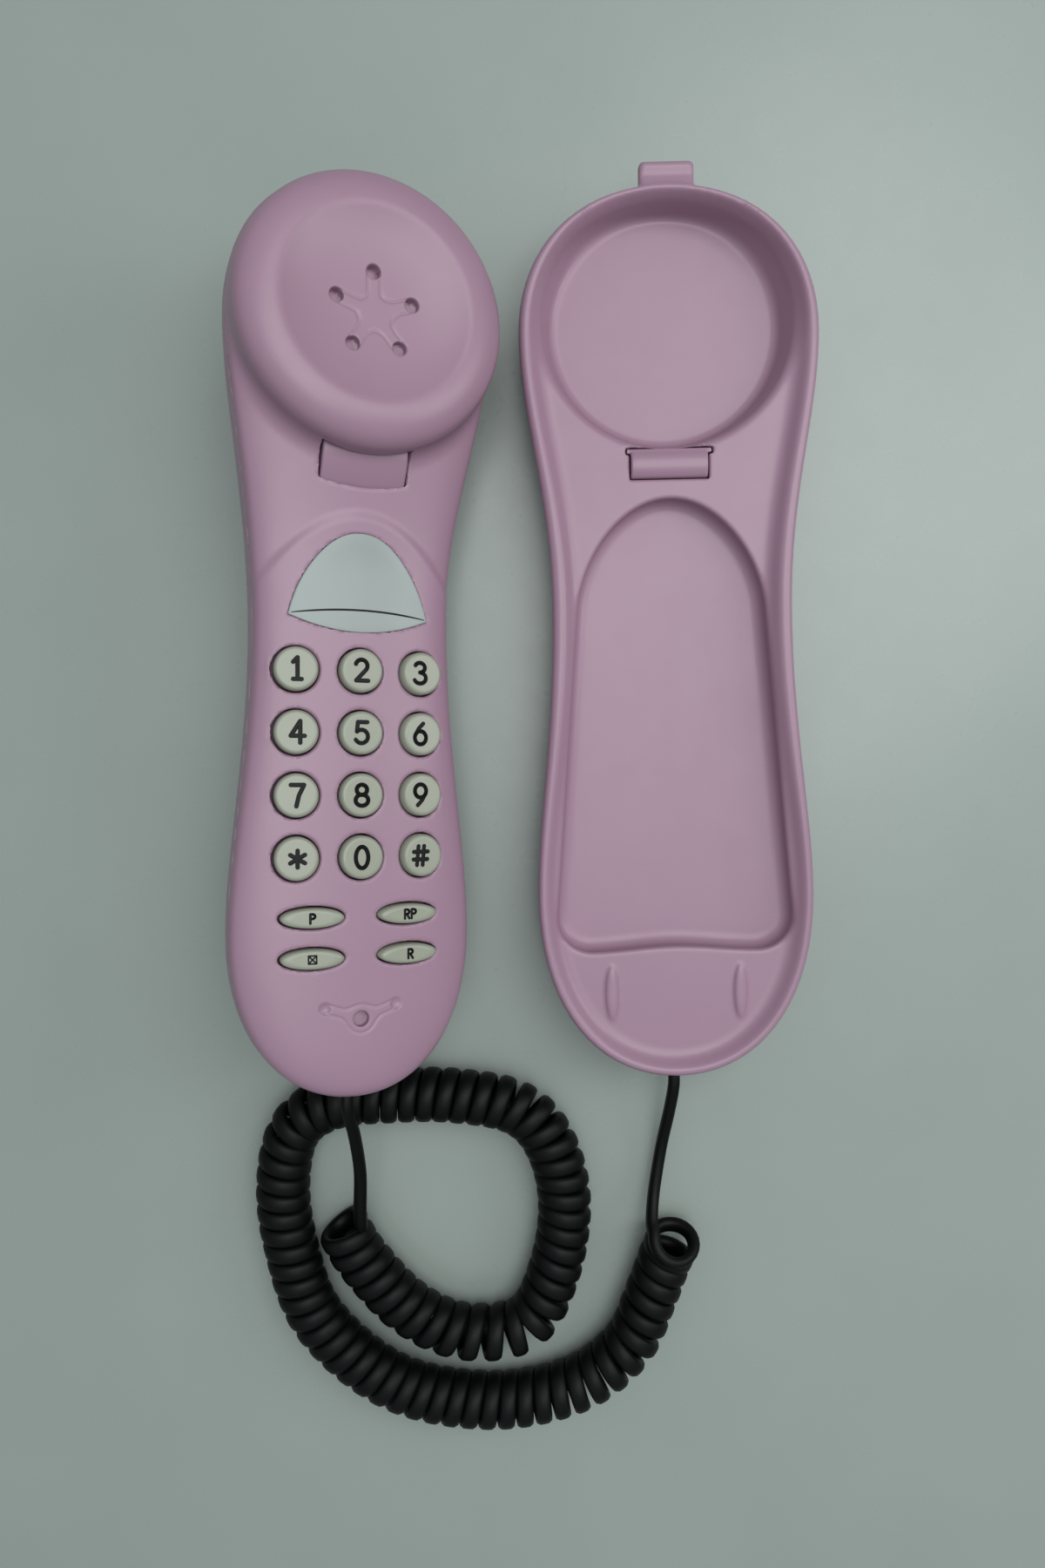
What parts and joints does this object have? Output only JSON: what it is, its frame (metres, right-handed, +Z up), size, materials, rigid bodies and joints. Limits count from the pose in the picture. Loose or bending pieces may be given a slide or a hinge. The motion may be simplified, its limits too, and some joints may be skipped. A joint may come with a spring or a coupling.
{
  "type": "two-piece keypad telephone",
  "caption": "Slim bedroom telephone: keypad handset lying beside its long cradle with a round earpiece cup, joined by a curly cord.",
  "frame": {"origin": "on the table, under the centre of the box round the cradle and the handset together, the cord left out", "axes": "+X from the handset to the cradle, +Y towards the earpiece ends, +Z up from the table"},
  "size_m": [0.1371, 0.2969, 0.0516],
  "materials": {
    "pink_plastic": "dusty pink injection-moulded ABS, soft gloss",
    "ivory_plastic": "ivory keycaps, semi-gloss, black printed legends",
    "label": "pale grey printed plate, satin",
    "black_cord": "black PVC cord, glossy",
    "black_plastic": "black moulding",
    "clear_plug": "clear polycarbonate modular plug",
    "rubber": "matte rubber",
    "keypad_rubber": "silicone keypad sheet",
    "steel": "zinc-plated steel",
    "board": "green circuit board"
  },
  "bodies": {
    "base": {"base_cradle": "pink_plastic", "base_bottom_cover": "pink_plastic", "base_cover_screw_1": "steel", "base_cover_screw_2": "steel", "base_cover_screw_3": "steel", "base_cover_screw_4": "steel", "base_foot_1": "rubber", "base_foot_2": "rubber", "base_foot_3": "rubber", "base_foot_4": "rubber", "base_weight": "steel", "base_terminal_board": "board", "base_handset_jack": "black_plastic", "base_line_jack": "black_plastic", "cord_plug_base": "clear_plug", "cord_tail_base": "black_cord", "cord_coil": "black_cord"},
    "handset": {"handset_front_shell": "pink_plastic", "handset_back_shell": "pink_plastic", "handset_screw_1": "steel", "handset_screw_2": "steel", "handset_screw_3": "steel", "handset_screw_4": "steel", "label_plate": "label", "earpiece_receiver": "black_plastic", "receiver_gasket": "rubber", "microphone_capsule": "steel", "microphone_boot": "rubber", "main_circuit_board": "board", "keypad_membrane": "keypad_rubber", "hook_switch_body": "black_plastic", "hook_lever_pin": "steel", "hook_lever_spring": "steel", "ringer_buzzer": "black_plastic", "handset_weight": "steel", "handset_jack": "black_plastic", "cord_plug_handset": "clear_plug", "cord_tail_handset": "black_cord"},
    "hook_lever": {"hook_lever": "pink_plastic"},
    "wall_hook": {"wall_hook_tab": "pink_plastic"},
    "key_1": {"key_1": "ivory_plastic"},
    "key_2": {"key_2": "ivory_plastic"},
    "key_3": {"key_3": "ivory_plastic"},
    "key_4": {"key_4": "ivory_plastic"},
    "key_5": {"key_5": "ivory_plastic"},
    "key_6": {"key_6": "ivory_plastic"},
    "key_7": {"key_7": "ivory_plastic"},
    "key_8": {"key_8": "ivory_plastic"},
    "key_9": {"key_9": "ivory_plastic"},
    "key_star": {"key_star": "ivory_plastic"},
    "key_0": {"key_0": "ivory_plastic"},
    "key_hash": {"key_hash": "ivory_plastic"},
    "key_pause": {"key_pause": "ivory_plastic"},
    "key_redial": {"key_redial": "ivory_plastic"},
    "key_mute": {"key_mute": "ivory_plastic"},
    "key_flash": {"key_flash": "ivory_plastic"}
  },
  "joints": [
    {"name": "handset_lift", "type": "slide", "parent": "base", "child": "handset", "axis": [0, 0, 1], "range_m": [0, 0.05]},
    {"name": "wall_hook_lift", "type": "slide", "parent": "base", "child": "wall_hook", "axis": [0, 0, 1], "range_m": [0, 0.012]},
    {"name": "hook_lever_tilt", "type": "hinge", "parent": "handset", "child": "hook_lever", "pos_m": [-0.03385, 0.03949, 0.03173], "axis": [0.9128, -0.0474, -0.4057], "range_deg": [0, 8], "stiffness_Nm_per_rad": 0.02, "springref_deg": -11.46},
    {"name": "key_1_press", "type": "slide", "parent": "handset", "child": "key_1", "axis": [-0.408, -0.0571, -0.9112], "range_m": [0, 0.001], "stiffness_N_per_m": 300, "springref_m": -0.002},
    {"name": "key_2_press", "type": "slide", "parent": "handset", "child": "key_2", "axis": [-0.408, -0.0571, -0.9112], "range_m": [0, 0.001], "stiffness_N_per_m": 300, "springref_m": -0.002},
    {"name": "key_3_press", "type": "slide", "parent": "handset", "child": "key_3", "axis": [-0.408, -0.0571, -0.9112], "range_m": [0, 0.001], "stiffness_N_per_m": 300, "springref_m": -0.002},
    {"name": "key_4_press", "type": "slide", "parent": "handset", "child": "key_4", "axis": [-0.408, -0.0571, -0.9112], "range_m": [0, 0.001], "stiffness_N_per_m": 300, "springref_m": -0.002},
    {"name": "key_5_press", "type": "slide", "parent": "handset", "child": "key_5", "axis": [-0.408, -0.0571, -0.9112], "range_m": [0, 0.001], "stiffness_N_per_m": 300, "springref_m": -0.002},
    {"name": "key_6_press", "type": "slide", "parent": "handset", "child": "key_6", "axis": [-0.408, -0.0571, -0.9112], "range_m": [0, 0.001], "stiffness_N_per_m": 300, "springref_m": -0.002},
    {"name": "key_7_press", "type": "slide", "parent": "handset", "child": "key_7", "axis": [-0.408, -0.0571, -0.9112], "range_m": [0, 0.001], "stiffness_N_per_m": 300, "springref_m": -0.002},
    {"name": "key_8_press", "type": "slide", "parent": "handset", "child": "key_8", "axis": [-0.408, -0.0571, -0.9112], "range_m": [0, 0.001], "stiffness_N_per_m": 300, "springref_m": -0.002},
    {"name": "key_9_press", "type": "slide", "parent": "handset", "child": "key_9", "axis": [-0.408, -0.0571, -0.9112], "range_m": [0, 0.001], "stiffness_N_per_m": 300, "springref_m": -0.002},
    {"name": "key_star_press", "type": "slide", "parent": "handset", "child": "key_star", "axis": [-0.408, -0.0571, -0.9112], "range_m": [0, 0.001], "stiffness_N_per_m": 300, "springref_m": -0.002},
    {"name": "key_0_press", "type": "slide", "parent": "handset", "child": "key_0", "axis": [-0.408, -0.0571, -0.9112], "range_m": [0, 0.001], "stiffness_N_per_m": 300, "springref_m": -0.002},
    {"name": "key_hash_press", "type": "slide", "parent": "handset", "child": "key_hash", "axis": [-0.408, -0.0571, -0.9112], "range_m": [0, 0.001], "stiffness_N_per_m": 300, "springref_m": -0.002},
    {"name": "key_pause_press", "type": "slide", "parent": "handset", "child": "key_pause", "axis": [-0.408, -0.0571, -0.9112], "range_m": [0, 0.001], "stiffness_N_per_m": 300, "springref_m": -0.002},
    {"name": "key_redial_press", "type": "slide", "parent": "handset", "child": "key_redial", "axis": [-0.408, -0.0571, -0.9112], "range_m": [0, 0.001], "stiffness_N_per_m": 300, "springref_m": -0.002},
    {"name": "key_mute_press", "type": "slide", "parent": "handset", "child": "key_mute", "axis": [-0.408, -0.0571, -0.9112], "range_m": [0, 0.001], "stiffness_N_per_m": 300, "springref_m": -0.002},
    {"name": "key_flash_press", "type": "slide", "parent": "handset", "child": "key_flash", "axis": [-0.408, -0.0571, -0.9112], "range_m": [0, 0.001], "stiffness_N_per_m": 300, "springref_m": -0.002}
  ]
}
